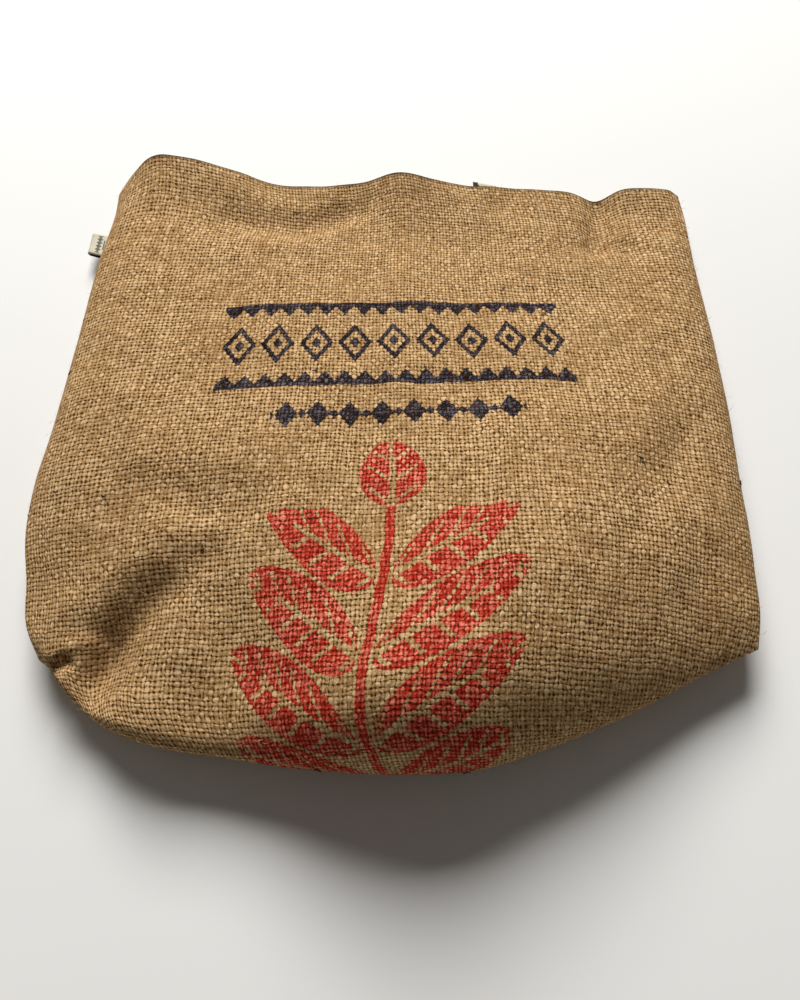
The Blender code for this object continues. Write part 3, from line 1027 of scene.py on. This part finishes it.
def tape_mesh(name, points, lengths):
    """A closed strip of tape under a grid of points, with its own map in metres."""
    strip = bmesh.new()
    weave = strip.loops.layers.uv.new("tape")
    rows, columns = points.shape[:2]
    top = [[strip.verts.new(Vector(points[r, c]) * MM) for c in range(columns)]
           for r in range(rows)]

    def tile(corners):
        face = strip.faces.new([vert for vert, _, _ in corners])
        face.smooth = True
        for loop, (_, r, c) in zip(face.loops, corners):
            loop[weave].uv = (lengths[0] * MM * r / (rows - 1),
                              lengths[1] * MM * c / (columns - 1))

    squares = [(r, c) for r in range(rows - 1) for c in range(columns - 1)]
    for r, c in squares:
        tile([(top[i][j], i, j) for i, j in ((r, c), (r + 1, c), (r + 1, c + 1), (r, c + 1))])
    strip.normal_update()
    under = [[strip.verts.new(vert.co - vert.normal * TAPE_THICKNESS * MM) for vert in row]
             for row in top]
    for r, c in squares:
        tile([(under[i][j], i, j) for i, j in ((r, c), (r, c + 1), (r + 1, c + 1), (r + 1, c))])
    edge = ([(r, 0) for r in range(rows)] + [(rows - 1, c) for c in range(1, columns)]
            + [(r, columns - 1) for r in range(rows - 2, -1, -1)]
            + [(0, c) for c in range(columns - 2, -1, -1)])
    for (r, c), (i, j) in zip(edge, edge[1:]):
        tile([(top[i][j], i, j), (top[r][c], r, c), (under[r][c], r, c), (under[i][j], i, j)])
    mesh = bpy.data.meshes.new(name)
    strip.to_mesh(mesh)
    strip.free()
    return mesh


reach, along_fold = np.meshgrid(np.linspace(0, 2, 41), np.linspace(0, 1, 13), indexing="ij")
to_fold = np.abs(1 - reach)
near_fold, far_fold = np.array(LABEL_NEAR_FOLD), np.array(LABEL_FAR_FOLD)
near_seam, far_seam = np.array(LABEL_NEAR_SEAM), np.array(LABEL_FAR_SEAM)
fold_line = near_fold + along_fold[..., None] * (far_fold - near_fold)
seam_line = near_seam + along_fold[..., None] * (far_seam - near_seam)
plan = fold_line + to_fold[..., None] * LABEL_IN_SEAM * (seam_line - fold_line)
side = np.clip((1 - reach) / LABEL_FOLD_SHARE, -1, 1)
curl = LABEL_CURL * np.cos(along_fold * 3 + 1) * (1 - to_fold)
lift = LABEL_GAP * np.sin(side * math.pi / 2) + curl
slip = (1 - along_fold) * (side < 0) * -0.5
label_points = np.dstack((plan[..., 0], plan[..., 1] + slip, LABEL_MIDDLE + lift))
label = add_object("label_tape",
                   tape_mesh("label_tape", label_points, (LABEL_LENGTH, LABEL_WIDTH)))


def ribbed(place, pitch):
    """Woven ribs: 1 on each and 0 between them."""
    return (place * (2 * math.pi / (pitch * MM))).cos() * 0.5 + 0.5


tape = Finish("cream_tape")
tape_map, tape_u, tape_v = tape.flat_map("tape")
ribs = ribbed(tape_u, 0.45)
lines = ribbed(tape_v, 0.6)
soil = tape.noise(tape_map, scale=260.0, detail=3.0)
cream = tape.blend(ribs * 0.25 + lines * 0.15 + (soil - 0.5) * 1.1, CREAM, CREAM_SHADED)
down_label = tape_u * (1 / MM)
across_label = tape_v * (1 / MM) - MARKS_ACROSS
mark = (abs((across_label * (1 / MARK_PITCH)).fract() - 0.5) * 1.5
        + abs(down_label - MARKS_ALONG) * 0.44) < 0.95
mark = mark * (abs(across_label) < MARK_ROW_HALF)
stripe = (abs(down_label - STRIPE_ALONG) < STRIPE_HALF[0]) * (abs(across_label) < STRIPE_HALF[1])
cream = tape.blend(mark.most(stripe) * 0.88, cream, PRINT_DARK)
underside = tape_u > UNDERSIDE_FROM * MM
tape.set(Base_Color=tape.blend(underside, cream, UNDERSIDE_DARK),
         Roughness=0.85 - ribs * 0.1, Specular_IOR_Level=0.3)
tape.bump(ribs * 0.5 + lines * 0.3, 0.10 * MM, 0.8)
label.data.materials.append(tape.material)
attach(label, "root")
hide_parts("side_label")


# ---------------------------------------------------------------- tape end at the mouth
# The cream tape sewn behind the front hem. Only its end shows past the mouth, coloured dark along
# its left side.
TAB_RUN = (62.5, 79.5)
TAB_FROM = 176.0
TAB_END = 202.3
TAB_SLANTS = 2.6
TAB_RISES_FROM, TAB_RISES_OVER = 187, 14
TAB_UNDER_HEM = 9.6
TAB_TIP = 14.8
TAB_TIP_FALLS = 1.2
TAB_LENGTH, TAB_WIDTH = 27.2, 17.0
DARK_SIDE_FROM, DARK_SIDE_TO = 12.4, 13.2
TAB_CREAM = (0.74, 0.67, 0.50)
TAB_SHADED = (0.52, 0.45, 0.31)
TAB_DARK_SIDE = (0.050, 0.032, 0.018)
tab_run, tab_along = np.meshgrid(np.linspace(0, 1, 25), np.linspace(0, 1, 13), indexing="ij")
tab_x = TAB_RUN[0] + tab_along * (TAB_RUN[1] - TAB_RUN[0])
tab_y = TAB_FROM + tab_run * (TAB_END - TAB_FROM) - TAB_SLANTS * tab_along * tab_run
out_of_mouth = step((tab_y - TAB_RISES_FROM) / TAB_RISES_OVER)
tab_rise = TAB_TIP - TAB_UNDER_HEM - TAB_TIP_FALLS * tab_along
tab_points = np.dstack((tab_x, tab_y, TAB_UNDER_HEM + tab_rise * out_of_mouth))[:, ::-1]
tab = add_object("mouth_tape", tape_mesh("mouth_tape", tab_points, (TAB_LENGTH, TAB_WIDTH)))

tab_finish = Finish("cream_tape_end")
tab_map, tab_u, tab_v = tab_finish.flat_map("tape")
tab_ribs = ribbed(tab_u, 0.9)
tab_soil = tab_finish.noise(tab_map, scale=260.0, detail=3.0) - 0.5
dark_side = tab_finish.step(tab_v + tab_soil * 4 * MM, DARK_SIDE_FROM * MM, DARK_SIDE_TO * MM)
tab_cream = tab_finish.blend(tab_ribs * 0.2 + tab_soil, TAB_CREAM, TAB_SHADED)
tab_finish.set(Base_Color=tab_finish.blend(dark_side, tab_cream, TAB_DARK_SIDE),
               Roughness=0.85, Specular_IOR_Level=0.3)
tab_finish.bump(tab_ribs, 0.10 * MM, 0.8)
tab.data.materials.append(tab_finish.material)
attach(tab, "root")
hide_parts("mouth_tab")
